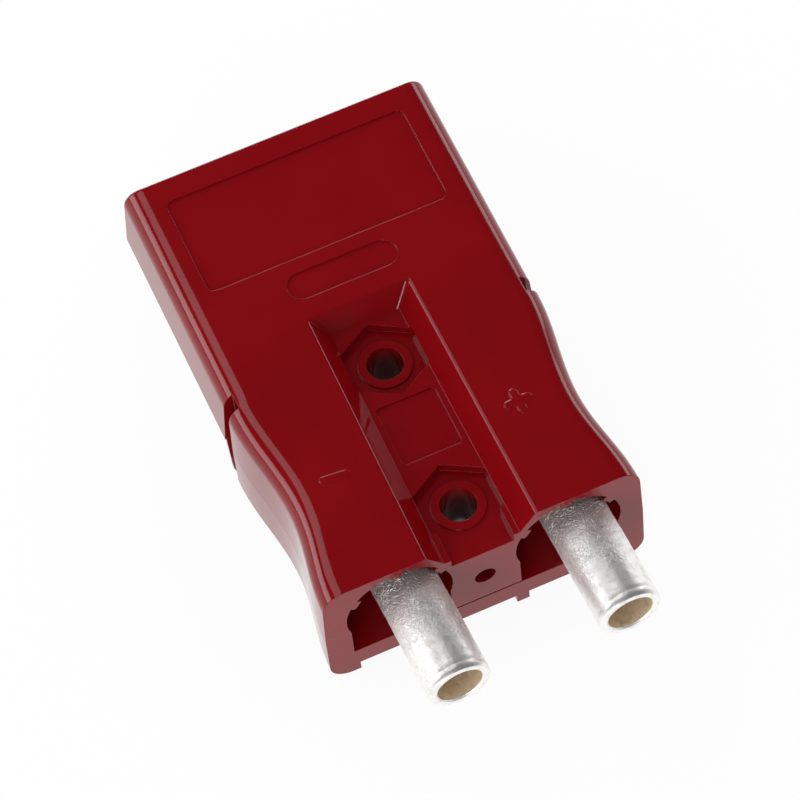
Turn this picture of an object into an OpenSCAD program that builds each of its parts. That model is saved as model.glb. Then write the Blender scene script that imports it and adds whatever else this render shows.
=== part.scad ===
// Genderless two-pole power connector half: two moulded shells, two crimp contacts and two leaf springs.
// X runs across the connector, Y from the wire end to the mating end, Z up from the face it rests on.
// The origin is midway between the two mounting holes, on the rest face.

/* [Housing] */
// Length of the housing from the wire face to the mating face
body_l = 62.5; // [60:0.1:66]
// Thickness of the housing, shared equally by the two mated halves
body_h = 19.2; // [18.8:0.1:21]
// Width across the wire face
rear_w = 40.8; // [40:0.1:43]
// Width at the narrowest point of the grip
waist_w = 37.6; // [36.6:0.1:38.4]
// Distance of the narrowest point from the wire face
waist_y = 13.5; // [11:0.1:16]
// Width of the rear body at its shoulders
shoulder_w = 40.7; // [39.8:0.1:42]
// How far each side of the hood stands out past the wire face at the mating plane
hood_flare = 0.1; // [0:0.05:0.4]
// How far each side of the hood leans in from the mating plane to the top
hood_draft = 0.75; // [0.2:0.1:1]
// How far each side of the grip leans in from the seam to the top
grip_draft = 0.3; // [0:0.05:0.4]
// Radius along the long top and bottom edges
edge_r = 2.8; // [1.6:0.1:3.2]
// Radius along the top edge of the mating face
front_edge_r = 0.7; // [0.4:0.1:1.2]
// Radius of the upright corners at the mating end
corner_r = 0.4; // [0.3:0.1:2]
// Thickness of the wall across the mating face
front_wall = 2; // [1.6:0.1:3]
// Length of the lower shell from the wire face
lower_l = 33.6; // [33:0.1:35]
// How far each side of the lower shell leans in towards its front end
lead_in = 0.8; // [0.4:0.1:1.2]

/* [Mounting holes] */
// Distance of the rear hole from the wire face
hole_rear_y = 7; // [6.8:0.1:7.6]
// Distance between the two holes
hole_pitch = 21.4; // [20:0.1:22]
// Diameter of the through holes
hole_d = 4.46; // [4:0.02:4.8]
// Diameter of the raised ring round each hole in its pocket
ring_d = 6.7; // [6:0.1:7.4]
// Height of the raised ring
ring_h = 0.26; // [0.1:0.02:0.5]
// Width across the flats of each nut pocket
nut_af = 9.3; // [8.6:0.1:9.4]
// Depth of the nut pockets below the channel floor
nut_depth = 1.3; // [0.8:0.1:1.6]
// Diameter of the screw bosses on the underside
boss_d = 7.8; // [7:0.1:8.4]

/* [Channel in the top face] */
// Width of the channel mouth at the wire face
channel_rear_w = 14; // [13.4:0.1:14.4]
// Width of the channel mouth at its closed end
channel_front_w = 13.2; // [12.6:0.1:13.8]
// Width of the channel floor at the wire face
channel_floor_w = 9.6; // [9.4:0.1:10.4]
// Length of the channel mouth
channel_l = 35.9; // [35:0.1:37]
// Length taken by the ramp at the closed end
channel_ramp = 1.7; // [1:0.1:2.4]
// Depth of the channel floor below the top face
channel_depth = 2.9; // [2.4:0.1:3.1]
// Radius that rounds the lip of the channel
lip_r = 0.5; // [0.2:0.05:0.8]
// Radius of the two valleys between the ramp and the side walls of the channel
valley_r = 0.5; // [0.2:0.05:1]
// Width of the slot from the rear nut pocket out to the wire face
slot_w = 8; // [7:0.1:8.4]

/* [Recesses and notches] */
// Depth of the shallow rounded recesses
recess_depth = 0.2; // [0.1:0.05:0.4]
// Width of the large recess near the mating end
label_w = 31.4; // [28:0.1:32]
// Length of the large recess
label_l = 14.3; // [12:0.1:15]
// Corner radius of the large recess
label_r = 1.1; // [0.8:0.1:4]
// Distance from the large recess to the mating face
label_front = 3.8; // [2.6:0.1:4]
// Width of the small recess
tag_w = 14.2; // [12:0.1:16]
// Length of the small recess
tag_l = 3.8; // [3:0.1:4.2]
// Distance between the channel and the small recess
tag_gap = 2.7; // [1.6:0.1:3]
// Width of the recess in the channel floor
plate_w = 7.6; // [6:0.1:8]
// Length of the recess in the channel floor
plate_l = 8.4; // [6:0.1:9]
// Distance between the recess in the channel floor and the front nut pocket
plate_gap = 0.6; // [0.4:0.1:1]
// Distance of the side notches from the wire face
notch_y = 28.3; // [27.6:0.1:29]
// Length of the side notches
notch_l = 2.1; // [1.6:0.1:2.4]
// Depth of the side notches in the upper shell, from the shoulders inwards
notch_depth = 1.75; // [1:0.05:2]
// Depth of the grooves that carry on below the notches down the lower shell
step_depth = 0.6; // [0.3:0.05:1]

/* [Wire tunnels] */
// Distance between the two poles
pole_pitch = 21.6; // [21.4:0.1:22]
// Radius of the arched roof at the tunnel mouth
tunnel_r = 6.75; // [6.4:0.05:6.8]
// Height of the arch centre below the top face
tunnel_drop = 7.55; // [7.5:0.05:8]
// Depth of the tunnel mouth
mouth_l = 9; // [7:0.1:10]
// Half width of the tunnel mouth below the arch
mouth_half_w = 6.35; // [6:0.05:6.4]
// Width of the ribs under the arch
rib_w = 1.5; // [1:0.1:1.8]
// Height of the ribs under the arch
rib_h = 0.7; // [0.4:0.1:0.9]
// Radius of the roof of the inner raceway
race_r = 5.75; // [5.7:0.05:5.9]
// Height of the raceway ceiling below the top face inside the hood
hood_roof = 2.4; // [2:0.1:2.8]
// Height of the windows in the mating face
window_h = 3; // [2.4:0.1:3.6]
// Diameter of the blind hole in the centre of the wire face
key_d = 2.7; // [2:0.1:3.2]
// Depth of the blind hole
key_depth = 3.8; // [2:0.1:4]

/* [Lower shell] */
// Thickness of the floor between the tunnels and the underside recess
floor_t = 3.05; // [2.6:0.05:3.6]
// Depth of the recess in the underside
under_depth = 1.5; // [1:0.1:1.8]
// Width of the rim round the underside recess
rim_w = 3.8; // [3.6:0.1:4.4]
// Width of the two rails on the underside
rail_w = 1.6; // [1.2:0.1:2]
// Height of the blade pads above the seam
pad_rise = 0.9; // [0.5:0.1:1.2]
// Length of each blade pad
pad_l = 4; // [3:0.1:5]

/* [Contacts] */
// Outside diameter of the crimp barrel
barrel_od = 7.9; // [7.6:0.05:8]
// Bore of the crimp barrel
barrel_id = 5.6; // [5.2:0.05:6]
// How far the barrel stands out of the wire face
barrel_out = 13.6; // [12:0.1:15]
// Length of the barrel
barrel_l = 20.2; // [19:0.1:21]
// Depth of the bore
bore_l = 17; // [14:0.5:18]
// Height of the barrel axis below the top face
barrel_drop = 6.4; // [6.2:0.1:6.8]
// Length of the neck between barrel and blade
neck_l = 5; // [4:0.1:6]
// Width of the blade
blade_w = 9; // [8:0.1:9.2]
// Thickness of the blade
blade_t = 2.3; // [1.8:0.1:2.4]
// Distance from the blade's nose to the inside of the mating face
nose_gap = 7; // [5:0.1:9]
// Length of the contact head
head_l = 9; // [7:0.1:10]
// How far the contact head reaches past the mating plane
head_reach = 0.3; // [0:0.05:0.4]
// Play that turns the contacts in their tunnels, in degrees
contact_lean = 1.5; // [0:0.1:1.6]

/* [Springs] */
// Thickness of the spring strip
spring_t = 0.5; // [0.3:0.05:0.7]
// Width of the spring arm
spring_w = 6.4; // [5:0.1:7]
// Length of the spring root held in the side grooves
root_l = 4; // [3:0.1:5]
// Depth of the grooves that hold the root
groove_depth = 0.45; // [0.3:0.05:0.6]
// Length of the upturned end of the arm
curl_l = 2.4; // [1.5:0.1:3]

/* [Hidden] */
// Running clearance between pieces that slide or seat loosely
clear = 0.1;
// How far cutting shapes pass through the faces that they open
cut = 1;
// Overlap of shapes that are joined end to end
lap = 0.01;
// Facets of a full circle
round_n = 72;

mid_h = body_h / 2;
hood_half = rear_w / 2 + hood_flare;
origin_y = hole_rear_y + hole_pitch / 2;
hole_y = [hole_rear_y, hole_rear_y + hole_pitch];
shoulder_y = notch_y;
hood_y = notch_y + notch_l;
// Straight part of the lower shell's sides in front of the grooves
lip_land = 0.4;
pole_x = pole_pitch / 2;
floor_z = under_depth + floor_t;
arch_z = body_h - tunnel_drop;
channel_z = body_h - channel_depth;
nut_z = channel_z - nut_depth;
nut_r = nut_af / sqrt(3);
race_top_z = body_h - hood_roof;
race_end_y = body_l - front_wall;
// Wall between the channel and the hollows of the hood
core_wall = 1.6;
core_y = channel_l + core_wall;
post_half_w = pole_x - mouth_half_w;
bay_end_y = lower_l - front_wall;
// Gap between the post and the floor that it reaches down to
post_gap = 0.25;

// Radius that eases the rims of the barrel
rim_ease = 0.25;
barrel_z = body_h - barrel_drop;
blade_z = mid_h + pad_rise;
blade_y = barrel_l - barrel_out + neck_l;
nose_y = race_end_y - nose_gap;
head_y = nose_y - head_l;
head_drop = pad_rise + head_reach;
head_top_z = blade_z - head_drop + blade_t;
// Length of the step down from the blade to its head
joggle_l = 3;
// Length, rise and corner radius of the turned-up nose
nose_l = 2.4;
nose_rise = 1.3;
nose_r = 2;
lean_play = (nose_y - blade_y) * tan(contact_lean);
race_half_w = blade_w / 2 + lean_play + 1.5 * clear;

// Room above the root of the spring
root_room = 0.7;
root_z = race_top_z - root_room - spring_t;
arm_y = core_y + root_l;
// Place where the arm touches the blade, so that its curl ends short of the nose
touch_y = nose_y - nose_l - curl_l - 3 * clear;
arm_l = touch_y - arm_y;
arm_drop = root_z - head_top_z - clear / 2;
curl_rise = 1.6;

// Angle of the side ribs from the top of the arch
rib_turn = 56;
// Corner radius of the recess in the channel floor
plate_r = 0.5;

shell_red = [0.47, 0.03, 0.06];
plated_silver = [0.8, 0.79, 0.76];
spring_steel = [0.62, 0.62, 0.6];

// Smooth ramp from 0 to 1
function ease(t) = (1 - cos(180 * max(0, min(1, t)))) / 2;

// Half width of the grip at a distance from the wire face
function grip_half(y) = y < waist_y
    ? waist_w / 2 + (rear_w - waist_w) / 2 * ease((waist_y - y) / waist_y)
    : waist_w / 2 + (shoulder_w - waist_w) / 2 * ease((y - waist_y) / (shoulder_y - waist_y));

grip_steps = 24;
grip_ys = [for (i = [0 : grip_steps]) -cut + (shoulder_y + cut) * i / grip_steps];
corner_steps = 5;

corner_angles = [for (i = [0 : corner_steps]) 90 * i / corner_steps];

// One upright corner: a quarter ellipse from the side round to the front
function corner(cx, cy, rx, ry) = [for (a = corner_angles) [cx + rx * cos(a), cy + ry * sin(a)]];

// Right half of a plan outline: grip, shoulder, side of the front end, then its corner
function half_outline(side_in, front_in, grip_in, end_y, end_half, end_lead) =
    let (side_x = end_half - side_in, front = end_y - front_in)
    concat(
        [for (y = grip_ys) [grip_half(y) - grip_in - side_in, y]],
        [[side_x, notch_y + notch_l / 2], [side_x, hood_y + lip_land]],
        corner(side_x - end_lead - corner_r, front - corner_r, corner_r, corner_r));

function reversed(p) = [for (i = [len(p) - 1 : -1 : 0]) p[i]];
function mirrored(p) = [for (q = reversed(p)) [-q[0], q[1]]];
function closed_outline(half) = concat(half, mirrored(half));

// Stack of closed outlines, each at its own height, as one skin
module stacked(outlines, heights) {
    n = len(outlines[0]);
    m = len(outlines);
    points = [for (k = [0 : m - 1]) for (p = outlines[k]) [p[0], p[1], heights[k]]];
    sides = [for (k = [0 : m - 2]) for (i = [0 : n - 1])
        [k * n + i, (k + 1) * n + i, (k + 1) * n + (i + 1) % n, k * n + (i + 1) % n]];
    bottom = [for (i = [0 : n - 1]) i];
    top = [for (i = [n - 1 : -1 : 0]) (m - 1) * n + i];
    polyhedron(points, concat(sides, [bottom, top]));
}

edge_steps = 8;
edge_angles = [for (i = [0 : edge_steps]) 90 * i / edge_steps];

// Keeps what lies in front of the wire face and between two heights
module trimmed(low, high) {
    intersection() {
        children();
        translate([-body_l, 0, low]) cube([2 * body_l, 2 * body_l, high - low]);
    }
}

// Outer form of the upper shell: drafted sides under a rounded top edge
module upper_form() {
    function outline(side_in, front_in, lean) = closed_outline(half_outline(
        side_in, front_in, grip_draft * lean, body_l, hood_half - hood_draft * lean, 0));
    outlines = [for (a = edge_angles)
        outline(edge_r * (1 - cos(a)), front_edge_r * (1 - cos(a)), 1 - edge_r / mid_h)];
    heights = [for (a = edge_angles) body_h - edge_r * (1 - sin(a))];
    trimmed(mid_h, body_h)
        stacked(concat([outline(0, 0, -cut / mid_h)], outlines, [outlines[edge_steps]]),
                concat([mid_h - cut], heights, [body_h + cut]));
}

// Outer form of the lower shell: the same grip, upright, with a front end that leans in
module lower_form() {
    function outline(side_in, front_in, lean) = closed_outline(half_outline(
        side_in, front_in, 0, lower_l, shoulder_w / 2 - grip_draft * lean, lead_in));
    angles = reversed(edge_angles);
    outlines = [for (a = angles)
        outline(edge_r * (1 - cos(a)), front_edge_r * (1 - cos(a)), 1 - edge_r / mid_h)];
    heights = [for (a = angles) edge_r * (1 - sin(a))];
    trimmed(0, mid_h)
        stacked(concat([outlines[0]], outlines, [outline(0, 0, -cut / mid_h)]),
                concat([-cut], heights, [mid_h + cut]));
}

// Runs a flat shape, drawn in X and Z, along Y
module along_y(from, to) {
    translate([0, to, 0]) rotate([90, 0, 0]) linear_extrude(to - from) children();
}

// Both poles
module each_pole() {
    for (side = [-1, 1]) translate([side * pole_x, 0, 0]) children();
}

// Arched opening with straight sides that stands on the floor between the tunnels and the underside
module arch_section(radius, half_w) {
    intersection() {
        union() {
            translate([0, arch_z]) circle(radius, $fn = round_n);
            translate([-half_w, 0]) square([2 * half_w, arch_z]);
        }
        translate([-body_h, floor_z]) square(2 * body_h);
    }
}

// Section of the tunnel mouth, with three ribs left standing under its roof
module mouth_section() {
    difference() {
        arch_section(tunnel_r, mouth_half_w);
        for (turn = [-rib_turn, 0, rib_turn])
            translate([0, arch_z]) rotate(turn)
                translate([-rib_w / 2, tunnel_r - rib_h]) square([rib_w, 2 * rib_h]);
    }
}

// Inside of the upper shell at one pole: tunnel mouth, then a raceway up to the hood
module raceway() {
    along_y(-cut, mouth_l) mouth_section();
    along_y(mouth_l - lap, core_y) arch_section(race_r, race_half_w);
}

// Space over and round one blade inside the hood, open at the mating plane and at a window
module hood_cavity() {
    inside_l = race_end_y - core_y + lap;
    translate([-race_half_w, core_y - lap, -cut]) cube([2 * race_half_w, inside_l, race_top_z + cut]);
    translate([-blade_w / 2 - clear, race_end_y - cut, -cut])
        cube([blade_w + 2 * clear, front_wall + 2 * cut, mid_h + window_h + cut]);
    translate([-race_half_w - groove_depth, core_y - lap, root_z - clear])
        cube([2 * (race_half_w + groove_depth), inside_l, spring_t + 2 * clear]);
}

// Lean of the channel's side walls from the level, and how far its lip spreads at an angle round it
wall_turn = atan(2 * channel_depth / (channel_rear_w - channel_floor_w));
lip_steps = 4;
function lip_out(turn) = lip_r * (tan(wall_turn / 2) - sin(turn));

// Plan of the channel, spread outwards by a distance, with its closed end at end_y
function channel_plan(spread, end_y) =
    let (taper = (channel_rear_w - channel_front_w) / 2 / channel_l,
         rear = channel_rear_w / 2 + spread, front = rear - taper * end_y)
    closed_outline(concat([[rear + taper * cut, -cut]],
                          corner(front - valley_r, end_y - valley_r, valley_r, valley_r)));

// Tapered channel sunk in the top face: leaning walls, a ramp at its closed end and a rounded lip
module channel() {
    turns = [for (i = [lip_steps : -1 : 0]) wall_turn * i / lip_steps];
    floor_plan = channel_plan((channel_floor_w - channel_rear_w) / 2, channel_l - channel_ramp);
    lips = [for (turn = turns) channel_plan(lip_out(turn), channel_l + lip_out(turn))];
    heights = [for (turn = turns) body_h - lip_r * (1 - cos(turn))];
    stacked(concat([floor_plan], lips, [lips[lip_steps]]), concat([channel_z], heights, [body_h + cut]));
}

// Rounded rectangle centred on the origin
module rounded_plate(w, l, r) {
    quarter = corner(w / 2 - r, l / 2 - r, r, r);
    half = concat([for (p = reversed(quarter)) [p[0], -p[1]]], quarter);
    polygon(closed_outline(half));
}

// Shallow recess cut down from a face at height z
module shallow_recess(y, z, w, l, r) {
    translate([0, y, z - recess_depth]) linear_extrude(cut + recess_depth) rounded_plate(w, l, r);
}

module top_recesses() {
    shallow_recess(body_l - label_front - label_l / 2, body_h, label_w, label_l, label_r);
    shallow_recess(channel_l + tag_gap + tag_l / 2, body_h, tag_w, tag_l, tag_l / 2 - lap);
    plate_front = hole_y[1] - nut_r - plate_gap;
    shallow_recess(plate_front - plate_l / 2, channel_z, plate_w, plate_l, plate_r);
}

// Raised ring round each hole, left standing on the floor of its nut pocket
module rings() {
    for (y = hole_y) translate([0, y, nut_z - cut]) cylinder(h = cut + ring_h, d = ring_d, $fn = round_n);
}

// Nut pockets round both holes, the rear one open to the wire face
module nut_pockets() {
    difference() {
        union() {
            for (y = hole_y) translate([0, y, nut_z]) rotate([0, 0, 90])
                cylinder(h = nut_depth + cut, r = nut_r, $fn = 6);
            translate([-slot_w / 2, -cut, nut_z]) cube([slot_w, hole_rear_y + cut, nut_depth + cut]);
        }
        rings();
    }
}

module through_holes() {
    for (y = hole_y) translate([0, y, -cut]) cylinder(h = body_h + 2 * cut, d = hole_d, $fn = round_n);
}

// Runs its children on the positive side and mirrored on the negative side
module both_sides() {
    children();
    mirror([1, 0, 0]) children();
}

// Notches behind the shoulders of both sides, upwards from a height
module side_notches(depth, z) {
    both_sides() translate([shoulder_w / 2 - depth, notch_y, z])
        cube([depth + 2 * cut, notch_l, mid_h + 2 * cut]);
}

module key_hole() {
    translate([0, key_depth, mid_h]) rotate([90, 0, 0])
        cylinder(h = key_depth + cut, d = key_d, $fn = round_n);
}

// Centre post between the tunnels, from the upper shell down to the floor of the lower one
module centre_post() {
    translate([-post_half_w, 0, floor_z + post_gap])
        cube([2 * post_half_w, bay_end_y - clear, mid_h - floor_z]);
}

// Hollow between the two raceways in the hood, so that the walls there stay thin
module hood_core() {
    core_half = pole_x - race_half_w - groove_depth - core_wall;
    translate([-core_half, core_y, -cut]) cube([2 * core_half, race_end_y - core_y, race_top_z + cut]);
}

module upper_housing() {
    color(shell_red) difference() {
        union() {
            upper_form();
            centre_post();
        }
        each_pole() {
            raceway();
            hood_cavity();
        }
        hood_core();
        channel();
        nut_pockets();
        through_holes();
        top_recesses();
        side_notches(notch_depth, mid_h - cut);
        key_hole();
    }
}

// Inside of the underside rim, following the grip
module under_recess() {
    half = [for (y = grip_ys) [grip_half(y) - rim_w, y]];
    open_half = concat([[half[0][0], -cut]], half, [[half[grip_steps][0], lower_l - rim_w]]);
    translate([0, 0, -cut]) linear_extrude(cut + under_depth) polygon(closed_outline(open_half));
}

// Rails and screw bosses left standing in the underside recess
module under_ribs() {
    rail_l = lower_l - rim_w + cut;
    both_sides() translate([boss_d / 2 - rail_w / 8, 0, 0]) cube([rail_w, rail_l, under_depth + cut]);
    for (y = hole_y) translate([0, y, 0]) cylinder(h = under_depth + cut, d = boss_d, $fn = round_n);
}

// Bay for the post and the two raceways, above the floor
module lower_bay() {
    bay_half = pole_x + race_half_w;
    each_pole() along_y(-cut, mouth_l) arch_section(tunnel_r, mouth_half_w);
    translate([-post_half_w - clear, -cut, floor_z]) cube([2 * (post_half_w + clear), mouth_l + cut, body_h]);
    translate([-bay_half, mouth_l - lap, floor_z]) cube([2 * bay_half, bay_end_y - mouth_l + lap, body_h]);
}

// Pads that carry the blade of each contact, a little above the seam
module blade_pads() {
    pad_half = race_half_w - 2 * clear;
    for (y = [blade_y + 3 * clear, bay_end_y - pad_l + lap]) each_pole()
        translate([-pad_half, y, floor_z - lap]) cube([2 * pad_half, pad_l, blade_z - floor_z + lap]);
}

module lower_housing() {
    color(shell_red) difference() {
        union() {
            difference() {
                lower_form();
                side_notches(step_depth, -cut);
                lower_bay();
                difference() {
                    under_recess();
                    under_ribs();
                }
            }
            blade_pads();
        }
        through_holes();
    }
}

// Barrel with eased rims and a blind bore, its mouth towards the wire
module barrel() {
    rotate([-90, 0, 0]) rotate_extrude($fn = round_n) polygon([
        [barrel_id / 2 + rim_ease, 0], [barrel_od / 2 - rim_ease, 0], [barrel_od / 2, rim_ease],
        [barrel_od / 2, barrel_l], [0, barrel_l], [0, bore_l], [barrel_id / 2, bore_l],
        [barrel_id / 2, rim_ease]]);
}

// Neck where the tube is pressed flat into the blade
module neck() {
    hull() {
        translate([0, barrel_l - rim_ease, 0]) rotate([-90, 0, 0])
            cylinder(h = lap, d = barrel_od - rim_ease, $fn = 32);
        translate([-blade_w / 2, barrel_l + neck_l - lap, blade_z - barrel_z]) cube([blade_w, lap, blade_t]);
    }
}

// Height of the underside of the blade along its length: level, joggled down to the head, nose turned up
function blade_low(y) = blade_z - head_drop * ease((y - head_y) / joggle_l)
    + nose_rise * ease((y - (nose_y - nose_l)) / nose_l);

// Blade with rounded nose corners
module blade() {
    ys = concat([blade_y], [for (i = [0 : 8]) head_y + joggle_l * i / 8],
                [for (i = [0 : 6]) nose_y - nose_l + nose_l * i / 6]);
    low = [for (y = ys) [y, blade_low(y)]];
    high = [for (p = low) [p[0], p[1] + blade_t]];
    nose = corner(blade_w / 2 - nose_r, nose_y - nose_r, nose_r, nose_r);
    intersection() {
        rotate([90, 0, 90]) translate([0, 0, -blade_w / 2 - cut]) linear_extrude(blade_w + 2 * cut)
            polygon(concat(low, reversed(high)));
        linear_extrude(body_h) polygon(closed_outline(concat([[blade_w / 2, blade_y - cut]], nose)));
    }
}

// One contact, turned by its play about its nose
module contact(side) {
    color(plated_silver) translate([side * pole_x, nose_y, 0]) rotate([0, 0, contact_lean])
        translate([0, -nose_y, 0]) {
            translate([0, -barrel_out, barrel_z]) {
                barrel();
                neck();
            }
            blade();
        }
}

// Height of the middle of the spring strip: drops from the root, touches the blade, then curls up
function arm_mid(y) = root_z + spring_t / 2 - arm_drop * ease((y - arm_y) / arm_l)
    + curl_rise * ease((y - touch_y) / (2 * curl_l));

module spring(side) {
    ys = concat([for (i = [0 : 12]) arm_y + arm_l * i / 12], [for (i = [1 : 5]) touch_y + curl_l * i / 5]);
    low = concat([[core_y, root_z]], [for (y = ys) [y, arm_mid(y) - spring_t / 2]]);
    high = [for (p = low) [p[0], p[1] + spring_t]];
    color(spring_steel) translate([side * pole_x, 0, 0]) {
        rotate([90, 0, 90]) translate([0, 0, -spring_w / 2]) linear_extrude(spring_w)
            polygon(concat(low, reversed(high)));
        translate([-race_half_w - groove_depth + clear, core_y, root_z])
            cube([2 * (race_half_w + groove_depth - clear), root_l, spring_t]);
    }
}

// Moves a piece drawn from the wire face to the origin between the mounting holes
module placed() {
    translate([0, -origin_y, 0]) children();
}

placed() upper_housing();
placed() lower_housing();
placed() contact(-1);  // contact_negative
placed() contact(1);  // contact_positive
placed() spring(-1);  // spring_negative
placed() spring(1);  // spring_positive
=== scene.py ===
# A two-pole genderless power connector: two welded red shells with a silver contact and a spring for each pole.
import math

import bmesh
import bpy
from mathutils import Matrix, Vector, noise


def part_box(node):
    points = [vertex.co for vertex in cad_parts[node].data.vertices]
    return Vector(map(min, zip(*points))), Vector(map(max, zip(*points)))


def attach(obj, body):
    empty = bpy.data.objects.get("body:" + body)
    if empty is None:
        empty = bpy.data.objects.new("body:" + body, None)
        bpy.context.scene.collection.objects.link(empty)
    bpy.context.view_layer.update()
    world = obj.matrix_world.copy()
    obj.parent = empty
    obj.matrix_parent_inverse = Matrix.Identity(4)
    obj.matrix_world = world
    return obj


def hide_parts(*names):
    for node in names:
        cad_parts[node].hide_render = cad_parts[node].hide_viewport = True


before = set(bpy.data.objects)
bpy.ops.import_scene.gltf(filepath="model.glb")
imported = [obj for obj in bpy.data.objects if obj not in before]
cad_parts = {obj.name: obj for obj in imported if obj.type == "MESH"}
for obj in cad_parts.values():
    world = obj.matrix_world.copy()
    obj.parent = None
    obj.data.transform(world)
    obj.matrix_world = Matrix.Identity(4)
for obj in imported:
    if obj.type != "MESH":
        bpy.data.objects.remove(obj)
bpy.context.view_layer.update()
scene = bpy.context.scene
mm = 0.001

# The studio: a white paper sweep under a dark ceiling, with six softboxes around the connector.
# A long lens looks down on the wire end from the front left.
# The paper and the backdrop show white to the eye, and the paper keeps the connector's soft shadow.
LENS = 197.5
SENSOR_W = 36
CLIP_END = 10
CAMERA_AT = (-0.08044, -0.24990, 0.46172)
CAMERA_TURN = (30.718, 3.772, -23.727)
WHITE = (1, 1, 1, 1)
PAPER_WHITE = (0.86, 0.86, 0.86, 1)
PAPER_GLOW = 0.93
PAPER_SIZE = 6
PAPER_DROP = 0.02 * mm
HORIZON = (0.6, 0.6, 0.6, 1)
CEILING = (0.045, 0.04, 0.04, 1)
CEILING_EDGE = 0.26
WIRE_END_SHADE = -0.4
FILL = 0.7

camera_data = bpy.data.cameras.new("studio_camera")
camera_data.lens = LENS
camera_data.sensor_width = SENSOR_W
camera_data.clip_end = CLIP_END
camera = bpy.data.objects.new("studio_camera", camera_data)
camera.location = CAMERA_AT
camera.rotation_euler = [math.radians(turn) for turn in CAMERA_TURN]
scene.collection.objects.link(camera)
scene.camera = camera
scene.view_settings.view_transform = "Standard"


def add_node(nodes, kind, sockets=(), **settings):
    """A shader node with some of its settings and sockets filled in."""
    node = nodes.new("ShaderNode" + kind)
    for setting, value in settings.items():
        setattr(node, setting, value)
    for socket, value in dict(sockets).items():
        node.inputs[socket].default_value = value
    return node


def new_material(name):
    """An empty node material, with its nodes, its links and the socket that takes its surface."""
    material = bpy.data.materials.new(name)
    material.use_nodes = True
    nodes = material.node_tree.nodes
    nodes.clear()
    return material, nodes, material.node_tree.links, add_node(nodes, "OutputMaterial").inputs["Surface"]


def colour_ramp(nodes, links, value, stops):
    """A colour that follows a value between two stops, each a place and a colour."""
    ramp = add_node(nodes, "ValToRGB")
    for element, (place, colour) in zip(ramp.color_ramp.elements, stops):
        element.position = place
        element.color = colour
    links.new(value, ramp.inputs["Fac"])
    return ramp.outputs["Color"]


def mixed_shader(nodes, links, share, first, second):
    """The first shader, with a share of the second."""
    mix = add_node(nodes, "MixShader")
    links.new(share, mix.inputs["Fac"])
    links.new(first.outputs[0], mix.inputs[1])
    links.new(second.outputs[0], mix.inputs[2])
    return mix.outputs[0]


def seen_by_eye(nodes, links):
    """The light path, and 1 for rays from the eye, in reflections or through clear things, else 0."""
    path = add_node(nodes, "LightPath")
    seen = path.outputs["Is Camera Ray"]
    for other in ("Is Glossy Ray", "Is Transmission Ray"):
        either = add_node(nodes, "Math", operation="MAXIMUM")
        links.new(seen, either.inputs[0])
        links.new(path.outputs[other], either.inputs[1])
        seen = either.outputs[0]
    return path, seen


def paper_material():
    """White paper that mostly glows to the eye, and lights the connector as plain paper."""
    material, nodes, links, surface = new_material("white_sweep")
    seen = seen_by_eye(nodes, links)[1]
    share = add_node(nodes, "Math", {1: PAPER_GLOW}, operation="MULTIPLY")
    links.new(seen, share.inputs[0])
    paper = add_node(nodes, "BsdfDiffuse", {"Color": PAPER_WHITE})
    glow = add_node(nodes, "Emission", {"Color": WHITE, "Strength": 1})
    links.new(mixed_shader(nodes, links, share.outputs[0], paper, glow), surface)
    return material


bpy.ops.mesh.primitive_plane_add(size=PAPER_SIZE, location=(0, 0, -PAPER_DROP))
sweep = bpy.context.object
sweep.name = "studio_sweep"
sweep.data.materials.append(paper_material())


def light_room(world):
    """A room that is white to the eye, a pale horizon under a dark ceiling in reflections, and an even fill light."""
    world.use_nodes = True
    nodes, links = world.node_tree.nodes, world.node_tree.links
    nodes.clear()
    path, seen = seen_by_eye(nodes, links)
    direction = add_node(nodes, "TexCoord")
    axes = add_node(nodes, "SeparateXYZ")
    links.new(direction.outputs["Generated"], axes.inputs[0])
    height = add_node(nodes, "Math", {1: WIRE_END_SHADE}, operation="MULTIPLY_ADD")
    links.new(axes.outputs["Y"], height.inputs[0])
    links.new(axes.outputs["Z"], height.inputs[2])
    mirrored = colour_ramp(nodes, links, height.outputs[0], [(0, HORIZON), (CEILING_EDGE, CEILING)])
    backdrop = add_node(nodes, "Mix", {"B": WHITE}, data_type="RGBA")
    links.new(path.outputs["Is Camera Ray"], backdrop.inputs["Factor"])
    links.new(mirrored, backdrop.inputs["A"])
    shown = add_node(nodes, "Background", {"Strength": 1})
    links.new(backdrop.outputs["Result"], shown.inputs["Color"])
    fill = add_node(nodes, "Background", {"Color": WHITE, "Strength": FILL})
    out = add_node(nodes, "OutputWorld")
    links.new(mixed_shader(nodes, links, seen, fill, shown), out.inputs["Surface"])


scene.world = bpy.data.worlds.new("studio")
light_room(scene.world)


def softbox(name, towards, distance, width, length, power):
    """A lamp panel that faces the connector from a direction, its sizes in metres and its power in watts."""
    data = bpy.data.lights.new(name, "AREA")
    data.shape = "RECTANGLE"
    data.size, data.size_y = width, length
    data.energy = power
    lamp = bpy.data.objects.new(name, data)
    lamp.location = Vector(towards).normalized() * distance
    lamp.rotation_euler = (-Vector(towards)).to_track_quat("-Z", "Y").to_euler()
    scene.collection.objects.link(lamp)


softbox("softbox_roof", (-0.28, 0.49, 0.82), distance=0.7, width=0.31, length=0.34, power=0.6)
softbox("softbox_low_left", (-0.85, -0.52, 0.2), distance=0.8, width=0.3, length=0.16, power=0.28)
softbox("softbox_front", (0.1, 0.93, 0.34), distance=0.3, width=0.1, length=0.1, power=0.22)
softbox("softbox_wire_end", (-0.5, -0.78, 0.3), distance=0.6, width=0.22, length=0.22, power=1.3)
softbox("softbox_left", (-0.8, 0.47, 0.32), distance=0.6, width=0.3, length=0.24, power=0.85)
softbox("softbox_right", (0.84, 0.53, 0.26), distance=0.6, width=0.2, length=0.16, power=0.3)

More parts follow.
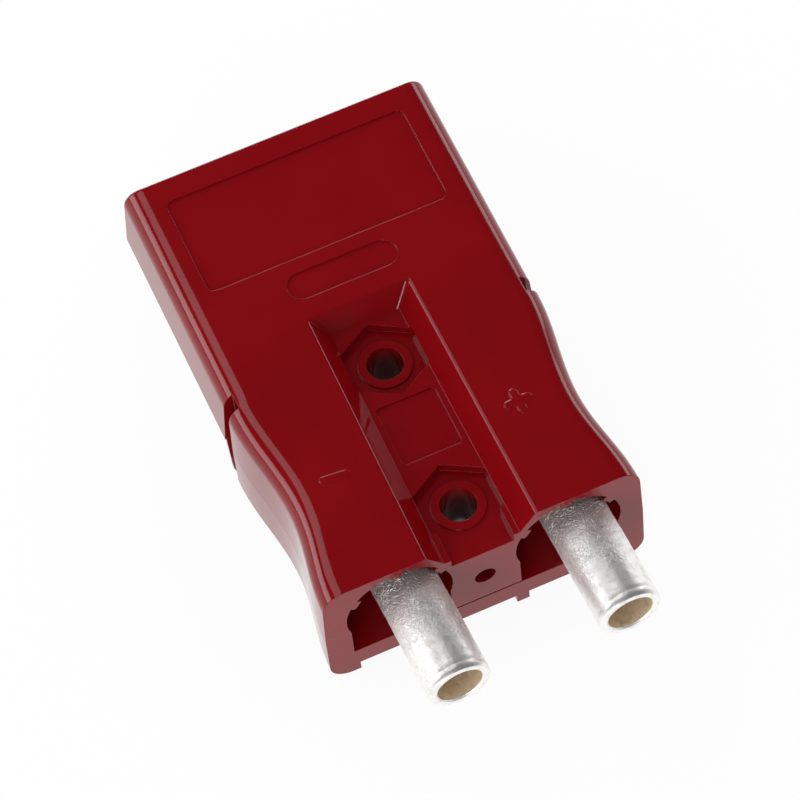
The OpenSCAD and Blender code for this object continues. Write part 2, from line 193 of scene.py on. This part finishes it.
# The two shells: crimson polycarbonate, injection moulded with a polished finish.
# The upper one carries the hood and the nut channel, and the lower one closes the wire tunnels.
# They are welded face to face along their seam, and the mould leaves every edge slightly rounded.
SHELL_RED = (0.202, 0.0022, 0.0048, 1)
SHELL_DEEP_RED = (0.175, 0.0017, 0.0038, 1)
SHELL_IOR = 1.5
SHELL_SPECULAR = 0.36
SHELL_ROUGHNESS = (0.07, 0.13)
CLOUD_SCALE, CLOUD_DETAIL = 60, 3
RIPPLE_SCALE, RIPPLE_DETAIL = 500, 2
RIPPLE, RIPPLE_H = 0.04, 0.02 * mm
EDGE_ROUND, EDGE_SAMPLES = 0.12 * mm, 6
SHARP_TURN = math.radians(28)
FLAT_TURN = math.radians(0.05)
SAME_POINT = 0.002 * mm
FULL_WEIGHT = 100


def surface_noise(nodes, links, scale, detail, **more):
    """Noise that is fixed to the piece, with its scale in lumps a metre."""
    place = add_node(nodes, "TexCoord")
    texture = add_node(nodes, "TexNoise", {"Scale": scale, "Detail": detail, **more})
    links.new(place.outputs["Object"], texture.inputs["Vector"])
    return texture.outputs["Fac"]


def spread(nodes, links, value, starts, ends):
    """A number that goes over the range of its ends as a value goes over the range of its starts."""
    scale = add_node(nodes, "MapRange", {"From Min": starts[0], "From Max": starts[1],
                                         "To Min": ends[0], "To Max": ends[1]})
    links.new(value, scale.inputs["Value"])
    return scale.outputs["Result"]


def relief(nodes, links, height, normal, depth, strength):
    """A fine relief laid over a normal, its depth in metres."""
    bump = add_node(nodes, "Bump", {"Strength": strength, "Distance": depth})
    links.new(height, bump.inputs["Height"])
    links.new(normal, bump.inputs["Normal"])
    return bump.outputs["Normal"]


def shell_material():
    """Polished crimson plastic with a faint cloudiness, slow ripples and softened edges."""
    material, nodes, links, surface = new_material("moulded_crimson")
    plastic = add_node(nodes, "BsdfPrincipled", {"IOR": SHELL_IOR, "Specular IOR Level": SHELL_SPECULAR})
    cloud = surface_noise(nodes, links, CLOUD_SCALE, CLOUD_DETAIL)
    tint = colour_ramp(nodes, links, cloud, [(0.3, SHELL_DEEP_RED), (0.7, SHELL_RED)])
    links.new(tint, plastic.inputs["Base Color"])
    links.new(spread(nodes, links, cloud, (0, 1), SHELL_ROUGHNESS), plastic.inputs["Roughness"])
    rounding = add_node(nodes, "Bevel", {"Radius": EDGE_ROUND}, samples=EDGE_SAMPLES)
    flow = surface_noise(nodes, links, RIPPLE_SCALE, RIPPLE_DETAIL)
    ripple = relief(nodes, links, flow, rounding.outputs["Normal"], RIPPLE_H, RIPPLE)
    links.new(ripple, plastic.inputs["Normal"])
    links.new(plastic.outputs[0], surface)
    return material


crimson = shell_material()


def new_piece(name, form, material):
    """Puts a finished form into the scene as a piece of the connector, smooth but for its sharp edges."""
    mesh = bpy.data.meshes.new(name)
    bmesh.ops.recalc_face_normals(form, faces=form.faces)
    form.to_mesh(mesh)
    form.free()
    if "custom_normal" in mesh.attributes:
        mesh.attributes.remove(mesh.attributes["custom_normal"])
    mesh.update()
    mesh.materials.append(material)
    mesh.shade_smooth()
    mesh.set_sharp_from_angle(angle=SHARP_TURN)
    piece = bpy.data.objects.new(name, mesh)
    scene.collection.objects.link(piece)
    flats = piece.modifiers.new("level_flats", "WEIGHTED_NORMAL")
    flats.mode = "FACE_AREA"
    flats.weight = FULL_WEIGHT
    flats.keep_sharp = True
    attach(piece, "root")
    return piece


def moulded_shell(node, name):
    """A shell on the form of its solid, its flat faces made whole."""
    form = bmesh.new()
    form.from_mesh(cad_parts[node].data)
    bmesh.ops.remove_doubles(form, verts=form.verts, dist=SAME_POINT)
    bmesh.ops.dissolve_limit(form, angle_limit=FLAT_TURN, verts=form.verts, edges=form.edges)
    shell = new_piece(name, form, crimson)
    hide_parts(node)


moulded_shell("upper_housing", "upper_shell")
moulded_shell("lower_housing", "lower_shell")

# Raised polarity signs on the grip, one beside each pole.
# They are moulded with the upper shell, and stand a hair above it.
# Their arms are softly domed, with round ends and a small fillet in each crook of the plus.
PLUS_AT, PLUS_TURN = (11.3 * mm, -3.1 * mm), 3
PLUS_HALF_L, PLUS_HALF_W, PLUS_RISE = 1.85 * mm, 0.6 * mm, 0.1 * mm
MINUS_AT, MINUS_TURN = (-12.2 * mm, -3.15 * mm), -5
MINUS_HALF_L, MINUS_HALF_W, MINUS_RISE = 1.95 * mm, 0.55 * mm, 0.03 * mm
CROOK_R = 0.15 * mm
# The dome of an arm: the share of its half width in from its edge, and the share of its rise.
DOME = [(0, -1), (0, 0), (0.1, 0.5), (0.3, 0.85), (0.6, 1)]
ARC_STEPS = 8
SIGN_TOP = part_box("upper_housing")[1].z


def arc(cx, cy, r, start, end):
    """Points on an arc, with its angles in degrees."""
    turns = [math.radians(start + (end - start) * i / ARC_STEPS) for i in range(ARC_STEPS + 1)]
    return [Vector((cx + r * math.cos(t), cy + r * math.sin(t), 0)) for t in turns]


def sign_outline(arms, half_l, half_w, inset):
    """Outline of a sign of 2 or 4 arms, drawn in from its edge by an inset."""
    outline = []
    for k in range(arms):
        turn = Matrix.Rotation(math.tau * k / arms, 3, "Z")
        arm = arc(half_l - half_w, 0, half_w - inset, -90, 90)
        if arms == 4:
            arm += arc(half_w + CROOK_R, half_w + CROOK_R, CROOK_R + inset, -90, -180)
        outline += [turn @ p for p in arm]
    return outline


def sign(name, place, turn, arms, half_l, half_w, rise):
    """A sign on the top of the upper shell, rooted in it by as much as it rises."""
    form = bmesh.new()
    rings = [[form.verts.new(p + Vector((0, 0, height * rise)))
              for p in sign_outline(arms, half_l, half_w, inward * half_w)] for inward, height in DOME]
    for low, high in zip(rings, rings[1:]):
        for i in range(len(low)):
            j = (i + 1) % len(low)
            form.faces.new((low[i], low[j], high[j], high[i]))
    form.faces.new(rings[-1])
    form.faces.new(rings[0][::-1])
    form.transform(Matrix.Translation((*place, SIGN_TOP)) @ Matrix.Rotation(math.radians(turn), 4, "Z"))
    new_piece(name, form, crimson)


sign("sign_plus", PLUS_AT, PLUS_TURN, 4, PLUS_HALF_L, PLUS_HALF_W, PLUS_RISE)
sign("sign_minus", MINUS_AT, MINUS_TURN, 2, MINUS_HALF_L, MINUS_HALF_W, MINUS_RISE)

# The contacts: copper tube pressed flat into a blade at one end, then silver plated.
# The open barrel takes the wire. It has a rolled lip and a dull bore, and its skin is dented by handling.
# Each contact lies loose in its tunnel on two pads, turned a little by its play.
SILVER_BRIGHT = (0.98, 0.97, 0.95, 1)
SILVER_DULL = (0.78, 0.75, 0.71, 1)
BORE_BRIGHT = (0.78, 0.64, 0.45, 1)
BORE_DULL = (0.48, 0.37, 0.24, 1)
SILVER_METAL = 0.9
BORE_METAL = 0.5
PLATE_ROUGHNESS = (0.55, 0.33)
GRAIN_SCALE, GRAIN_DETAIL, GRAIN_ROUGHNESS = 1100, 6, 0.7
CRINKLE_SCALE, CRINKLE_DETAIL, CRINKLE_TWIST = 1500, 3, 2.5
CRINKLE_L, CRINKLE_H = 11 * mm, 0.24 * mm
CRINKLE_STRENGTH = (0.12, 1)
PITTING, PITTING_H = 0.5, 0.06 * mm

WIRE_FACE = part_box("upper_housing")[0].y
BARREL_R = 3.95 * mm
BARREL_Z = 12.8 * mm
BARREL_START = WIRE_FACE - 13.6 * mm
BARREL_END = WIRE_FACE + 6.6 * mm
BORE_R = 2.8 * mm
BORE_L = 17 * mm
BLADE_START = WIRE_FACE + 11.6 * mm
BLADE_Z = 11.65 * mm
BLADE_HALF_W = 4.5 * mm
BLADE_HALF_T = 1.15 * mm
BLADE_EDGE_R = 0.3 * mm
NOSE_Y = WIRE_FACE + 53.5 * mm
NOSE_L = 2.4 * mm
NOSE_RISE = 1.3 * mm
NOSE_R = 2 * mm
NOSE_TIP = 0.002 * mm
HEAD_Y = NOSE_Y - 9 * mm
HEAD_DROP = 1.2 * mm
JOGGLE_L = 3 * mm
POLE_X = 10.8 * mm
LEAN = math.radians(1.5)
# The rolled lip in millimetres: the step out from the bore or in from the skin, and the way from the open end.
BORE_SIDE = [(0, 6), (0, 1.5), (0, 0.5), (0.08, 0.2), (0.3, 0.02)]
SKIN_SIDE = [(0.5, 0), (0.22, 0.07), (0.06, 0.26), (0, 0.55), (0, 0.85), (0.03, 1.0), (0.03, 1.12), (0, 1.3)]
DENT_LEAST, DENT_MOST = 0.035 * mm, 0.09 * mm
DENT_Y, DENT_SPREAD = WIRE_FACE - 1.5 * mm, 3.2 * mm
DENT_SCALE = 1500
SKIN_SHARE = 0.97
ROUND_SHARE = 0.999
CORNER_STEPS = 14
SKIN_STEPS = 48
NECK_STEPS = 12
JOGGLE_STEPS = 8
NOSE_STEPS = 12
BORE_RINGS = 4


def plated_material(name, dull, bright, metal):
    """Dull plate with a fine blotchy grain and pitting, crinkled where it nears the housing."""
    material, nodes, links, surface = new_material(name)
    plate = add_node(nodes, "BsdfPrincipled", {"Metallic": metal})
    grain = surface_noise(nodes, links, GRAIN_SCALE, GRAIN_DETAIL, Roughness=GRAIN_ROUGHNESS)
    links.new(colour_ramp(nodes, links, grain, [(0.28, dull), (0.5, bright)]), plate.inputs["Base Color"])
    links.new(spread(nodes, links, grain, (0.3, 0.7), PLATE_ROUGHNESS), plate.inputs["Roughness"])
    place = add_node(nodes, "TexCoord")
    along = add_node(nodes, "SeparateXYZ")
    links.new(place.outputs["Object"], along.inputs[0])
    wrinkles = surface_noise(nodes, links, CRINKLE_SCALE, CRINKLE_DETAIL, Distortion=CRINKLE_TWIST)
    crinkle = add_node(nodes, "Bump", {"Distance": CRINKLE_H})
    links.new(wrinkles, crinkle.inputs["Height"])
    near_housing = spread(nodes, links, along.outputs["Y"], (WIRE_FACE - CRINKLE_L, WIRE_FACE), CRINKLE_STRENGTH)
    links.new(near_housing, crinkle.inputs["Strength"])
    pitted = relief(nodes, links, grain, crinkle.outputs["Normal"], PITTING_H, PITTING)
    links.new(pitted, plate.inputs["Normal"])
    links.new(plate.outputs[0], surface)
    return material


silver = plated_material("worn_silver_plate", SILVER_DULL, SILVER_BRIGHT, SILVER_METAL)
bare_bore = plated_material("dull_bore", BORE_DULL, BORE_BRIGHT, BORE_METAL)


def ease(t):
    """Smooth ramp from 0 to 1."""
    return (1 - math.cos(math.pi * max(0.0, min(1.0, t)))) / 2


def section(y, half_w, half_t, corner, z):
    """One ring of the contact: an upright rounded rectangle, which is a circle where all three sizes match."""
    ring = []
    for k, (sx, sz) in enumerate([(1, 1), (-1, 1), (-1, -1), (1, -1)]):
        for i in range(CORNER_STEPS + 1):
            t = math.pi / 2 * (k + i / CORNER_STEPS)
            ring.append(Vector((sx * (half_w - corner) + corner * math.cos(t), y,
                                z + sz * (half_t - corner) + corner * math.sin(t))))
    return ring


def round_section(y, r):
    """One ring of the barrel, its four corners all but meeting."""
    return section(y, r, r, r * ROUND_SHARE, BARREL_Z)


def neck_section(i):
    """One ring of the neck, where the tube is pressed flat."""
    flat = ease(i / NECK_STEPS)
    return section(BARREL_END + (BLADE_START - BARREL_END) * i / NECK_STEPS,
                   BARREL_R + (BLADE_HALF_W - BARREL_R) * flat,
                   BARREL_R + (BLADE_HALF_T - BARREL_R) * flat,
                   BARREL_R + (BLADE_EDGE_R - BARREL_R) * flat,
                   BARREL_Z + (BLADE_Z - BARREL_Z) * flat)


def blade_section(y):
    """One ring of the blade: level, stepped down to its head, and turned up and rounded off at its nose."""
    middle = (BLADE_Z - HEAD_DROP * ease((y - HEAD_Y) / JOGGLE_L)
              + NOSE_RISE * ease((y - NOSE_Y + NOSE_L) / NOSE_L))
    past = max(0.0, y - NOSE_Y + NOSE_R) / NOSE_R
    half_w = BLADE_HALF_W - NOSE_R * (1 - math.sqrt(max(0.0, 1 - past * past)))
    return section(y, half_w, BLADE_HALF_T, BLADE_EDGE_R, middle)


def contact_sections():
    """Rings of one contact, from the bottom of its bore out over the lip and along to the nose."""
    rings = [round_section(BARREL_START + BORE_L, BORE_R)]
    rings += [round_section(BARREL_START + y * mm, BORE_R + step * mm) for step, y in BORE_SIDE]
    rings += [round_section(BARREL_START + y * mm, BARREL_R - step * mm) for step, y in SKIN_SIDE]
    skin_start = BARREL_START + SKIN_SIDE[-1][1] * mm
    rings += [round_section(skin_start + (BARREL_END - skin_start) * i / SKIN_STEPS, BARREL_R)
              for i in range(1, SKIN_STEPS + 1)]
    rings += [neck_section(i) for i in range(1, NECK_STEPS + 1)]
    rings += [blade_section(HEAD_Y + JOGGLE_L * i / JOGGLE_STEPS) for i in range(JOGGLE_STEPS + 1)]
    rings += [blade_section(NOSE_Y - NOSE_L * (1 - i / NOSE_STEPS)) for i in range(NOSE_STEPS)]
    return rings + [blade_section(NOSE_Y - NOSE_TIP)]


def dented(p):
    """Presses a point of the barrel's skin in by a little, most where the barrel enters the housing."""
    out = Vector((p.x, 0, p.z - BARREL_Z))
    if out.length < BARREL_R * SKIN_SHARE or p.y > BARREL_END:
        return p
    near = math.exp(-((p.y - DENT_Y) / DENT_SPREAD) ** 2)
    depth = (DENT_LEAST + DENT_MOST * near) * (0.5 + 0.5 * noise.noise(p * DENT_SCALE))
    return p - out.normalized() * depth


def contact_form():
    """One straight contact on the connector's middle plane, with its bore in the second material."""
    form = bmesh.new()
    rings = [[form.verts.new(dented(p)) for p in ring] for ring in contact_sections()]
    for k, (one, two) in enumerate(zip(rings, rings[1:])):
        for i in range(len(one)):
            j = (i + 1) % len(one)
            form.faces.new((one[i], one[j], two[j], two[i])).material_index = int(k < BORE_RINGS)
    form.faces.new(rings[0]).material_index = 1
    form.faces.new(rings[-1][::-1])
    return form


for side, pole in ((-1, "negative"), (1, "positive")):
    form = contact_form()
    lean = Matrix.Translation((0, NOSE_Y, 0)) @ Matrix.Rotation(LEAN, 4, "Z") @ Matrix.Translation((0, -NOSE_Y, 0))
    form.transform(Matrix.Translation((side * POLE_X, 0, 0)) @ lean)
    contact = new_piece("contact_" + pole + "_plated", form, silver)
    contact.data.materials.append(bare_bore)
    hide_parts("contact_" + pole)

# The springs: stainless strip, held by its root in two grooves of the hood.
# The arm presses the head of the contact down, and its end curls up clear of the nose.
STEEL = (0.6, 0.59, 0.57, 1)
STEEL_ROUGHNESS = (0.22, 0.42)
DRAWN_LINES = (6000, 150, 6000)


def spring_material():
    """Drawn steel, with fine lines along the strip."""
    material, nodes, links, surface = new_material("spring_steel")
    place = add_node(nodes, "TexCoord")
    stretch = add_node(nodes, "Mapping", {"Scale": DRAWN_LINES})
    links.new(place.outputs["Object"], stretch.inputs["Vector"])
    lines = add_node(nodes, "TexNoise", {"Scale": 1})
    links.new(stretch.outputs["Vector"], lines.inputs["Vector"])
    steel = add_node(nodes, "BsdfPrincipled", {"Base Color": STEEL, "Metallic": 1})
    links.new(spread(nodes, links, lines.outputs["Fac"], (0, 1), STEEL_ROUGHNESS), steel.inputs["Roughness"])
    links.new(steel.outputs[0], surface)
    return material


spring_steel = spring_material()
for node in ("spring_negative", "spring_positive"):
    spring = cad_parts[node]
    spring.data.materials.clear()
    spring.data.materials.append(spring_steel)
